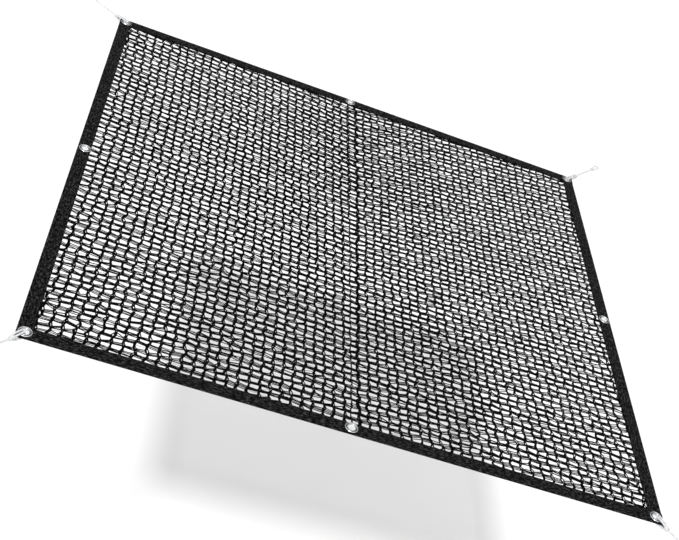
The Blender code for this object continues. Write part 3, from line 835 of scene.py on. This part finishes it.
woven_black = woven_look()
bindings = []
for side, turn, names in STRIPS:
    low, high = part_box("binding_" + side)
    length = max(high.x - low.x, high.y - low.y)
    fold = Matrix.Rotation(turn, 3, "Z") @ Vector((0.0, -HALF_SIDE, 0.0)) + cloth_middle
    back = Matrix.Rotation(-turn, 3, "Z")
    holes = [(back @ (middle_of("eyelet_" + name) - fold)).x for name in names]
    shape = strip_shape(length, fold, turn, holes)
    strip = new_piece("binding_tape_" + side, [shape], woven_black)
    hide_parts("binding_" + side)
    bindings.append(strip)
for strip in bindings:
    length = max(strip.dimensions)

# The sewing
# A row of lock stitches in black thread holds both leaves of each strip down on the net, 3 mm from the
# strip's inner edge.

THREAD_RADIUS = 0.22 * MM
SEWN_PITCH = 4.5 * MM
SEWN_SHARE = 0.82  # of the pitch shows as thread
SEWN_POINTS = 4
SEWN_SUNK = 0.1 * MM  # how deep the ends of a stitch lie in the tape
SEWN_RISE = 0.22 * MM  # and how far its middle stands above them
ROUND_THREAD = np.array([(0.9, -0.5), (0.0, 1.0), (-0.9, -0.5)])


def sewn_row(turn, face):
    """The stitches of one seam on one face: each is an arc that rises from the tape and goes back in."""
    count = int(2 * MOUTH / SEWN_PITCH)
    start = (np.arange(count) - count / 2 + 0.5) * SEWN_PITCH
    share = np.linspace(-0.5, 0.5, SEWN_POINTS)
    lines = np.empty((count, SEWN_POINTS, 3))
    lines[..., 0] = start[:, None] + share * SEWN_PITCH * SEWN_SHARE
    lines[..., 1] = SEAM_IN - HALF_SIDE
    lines[..., 2] = face * (PINCHED_UP - SEWN_SUNK + SEWN_RISE * np.cos(share * math.pi))
    lines[..., 2] += ripple(lines[..., 0], SEAM_IN)
    return lines @ np.array(Matrix.Rotation(turn, 3, "Z")).T


THREAD_BLACK = (0.01, 0.01, 0.011)
THREAD_GREY = (0.035, 0.035, 0.038)
sewing_black = tape_look("black_sewing_thread", THREAD_BLACK, THREAD_GREY, roughness=0.55)
seams = []
for _, turn, _ in STRIPS:
    for face in (1, -1):
        seams.append(carried(sewn_row(turn, face), ROUND_THREAD, THREAD_RADIUS, THREAD_RADIUS))
sewing = new_piece("binding_sewing", seams, sewing_black)

# The eyelets
# Eight eyelets of bright plated metal are pressed through the binding. Each has a rounded flange above and
# a barrel, and the barrel's end is curled over a flat washer on the under side.

EYELET_SIDES = 72
# The groove between the bead and the collar is painted dark, as shade.
GROOVE_OUT = 7.9 * MM  # from the middle of the hole
SHADE_FULL, SHADE_ENDS = 0.35 * MM, 0.9 * MM  # from the middle of the groove, to both sides
PAINTED_GROOVE_SHADE = (0.1, 0.1, 0.11)
DULL_METAL = (0.7, 0.71, 0.73)
BRIGHT_METAL = (0.93, 0.935, 0.94)
# The section's outline, as distance from the middle of the hole and height, in millimetres
EYELET_OUTLINE = (
    (5.5, -1.6),
    (5.5, 1.5),
    (5.65, 2.2),
    (6.1, 2.7),
    (6.7, 2.86),
    (7.2, 2.65),
    (7.5, 2.15),
    (7.9, 1.95),
    (8.4, 2.05),
    (8.8, 2.45),
    (9.3, 2.65),
    (9.9, 2.5),
    (10.35, 2.1),
    (10.5, 1.72),
    (10.2, 1.56),
    (6.1, 1.54),
    (6.0, 0.0),
    (6.1, -1.54),
    (10.4, -1.56),
    (10.5, -1.8),
    (10.2, -2.05),
    (7.9, -2.1),
    (7.6, -2.5),
    (6.9, -2.82),
    (6.0, -2.75),
    (5.6, -2.3),
)


def turned_ring(middle):
    """The outline turned all the way round the hole's axis: a closed ring with no ends. On the flat its
    second measure is the distance from that axis."""
    out, up = np.array(EYELET_OUTLINE).T * MM
    around = math.tau * np.arange(EYELET_SIDES)[:, None] / EYELET_SIDES
    points = np.stack(np.broadcast_arrays(out * np.cos(around), out * np.sin(around), up), axis=-1)
    index = np.arange(points.size // 3).reshape(points.shape[:2])
    after, onward = np.roll(index, -1, axis=0), np.roll(index, -1, axis=1)
    both = np.roll(after, -1, axis=1)
    sides = np.stack([index, onward, both, after], axis=-1).reshape(-1, 4)
    flat = np.zeros((sides.size, 2))
    flat[:, 1] = np.tile(out, EYELET_SIDES)[sides.ravel()]
    return points.reshape(-1, 3) + np.array(middle), sides, np.empty((0, 4), int), flat


def bright_metal():
    """Bright plating: a fine noise scratches and roughens it, and its groove is painted dark, as shade."""
    look = new_look("bright_plated_metal", {"Metallic": 1.0})
    scratches = noise(look, measured(look, "Object", scale=(900.0, 900.0, 900.0)), detail=5.0)
    bright = shaded(look, scratches, dark_at=0.0, dark=DULL_METAL, light_at=1.0, light=BRIGHT_METAL)
    flat = measured(look, "UV", scale=(1.0, 1.0, 1.0))
    out = new_node(look, "ShaderNodeSeparateXYZ", {}, {"Vector": flat}).outputs["Y"]
    from_groove = new_node(look, "ShaderNodeMath", {1: GROOVE_OUT}, {0: out})
    from_groove.operation = "SUBTRACT"
    beside_groove = new_node(look, "ShaderNodeMath", {}, {0: from_groove.outputs["Value"]})
    beside_groove.operation = "ABSOLUTE"
    edges = {"From Min": SHADE_FULL, "From Max": SHADE_ENDS}
    unshaded = new_node(look, "ShaderNodeMapRange", edges, {"Value": beside_groove.outputs["Value"]})
    # Painted shade: the colour goes dark near the groove's middle and fades out to both sides.
    groove_shaded = look.node_tree.nodes.new("ShaderNodeMix")
    groove_shaded.data_type = "RGBA"
    set_sockets(look, groove_shaded, {"A": (*PAINTED_GROOVE_SHADE, 1.0)}, {"Factor": unshaded.outputs["Result"], "B": bright})
    vary(look, "Base Color", groove_shaded.outputs["Result"])
    vary(look, "Roughness", ranged(look, scratches, at_nought=0.1, at_one=0.26))
    vary(look, "Normal", relief(look, scratches, strength=0.15, distance=0.05 * MM))
    return look


plated = bright_metal()
for name in sorted(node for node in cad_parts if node.startswith("eyelet_")):
    shape = turned_ring(middle_of(name))
    ring = new_piece(name.replace("eyelet_", "eyelet_ring_"), [shape], plated)
    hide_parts(name)

# The floor and the light
# A plain white floor 1.2 m below the cloth, under a soft white sky that is brighter above, and one
# lamp that stands high in front, to the left, and throws the cloth's pale shadow on it.

FLOOR_DROP = 1.2
FLOOR_HALF = 12.0
LAMP_WAY = Vector((-0.257, -0.617, 0.743))  # from the floor to the lamp
LAMP_STRENGTH = 2.4
LAMP_WIDTH = math.radians(4)
SKY_LOW, SKY_HIGH = 0.25, 1.17  # how bright the sky is near the horizon, and above

floor_mesh = bpy.data.meshes.new("floor")
corners = np.array([(-1, -1, 0), (1, -1, 0), (1, 1, 0), (-1, 1, 0)]) * FLOOR_HALF
corners = corners + np.array(cloth_middle - Vector((0.0, 0.0, FLOOR_DROP)))
floor_mesh.from_pydata(corners.tolist(), [], [(0, 1, 2, 3)])
floor_finish = {"Base Color": (0.9, 0.9, 0.9, 1.0), "Roughness": 1.0, "Specular IOR Level": 0.0}
floor_look = new_look("plain_white_floor", floor_finish)
floor_mesh.materials.append(floor_look)
floor = bpy.data.objects.new("floor", floor_mesh)
bpy.context.scene.collection.objects.link(floor)

lamp_data = bpy.data.lights.new("lamp", "SUN")
lamp_data.energy = LAMP_STRENGTH
lamp_data.angle = LAMP_WIDTH
lamp = bpy.data.objects.new("lamp", lamp_data)
lamp.rotation_euler = LAMP_WAY.to_track_quat("Z", "Y").to_euler()
bpy.context.scene.collection.objects.link(lamp)

sky = bpy.data.worlds.new("sky")
sky.use_nodes = True
sky_way = new_node(sky, "ShaderNodeTexCoord", {}, {}).outputs["Generated"]
sky_height = new_node(sky, "ShaderNodeSeparateXYZ", {}, {"Vector": sky_way}).outputs["Z"]
dim, bright = (SKY_LOW,) * 3, (SKY_HIGH,) * 3
sky_colour = shaded(sky, sky_height, dark_at=0.5, dark=dim, light_at=0.95, light=bright)
set_sockets(sky, sky.node_tree.nodes["Background"], {}, {"Color": sky_colour})
bpy.context.scene.world = sky
bpy.context.scene.view_settings.view_transform = "Standard"
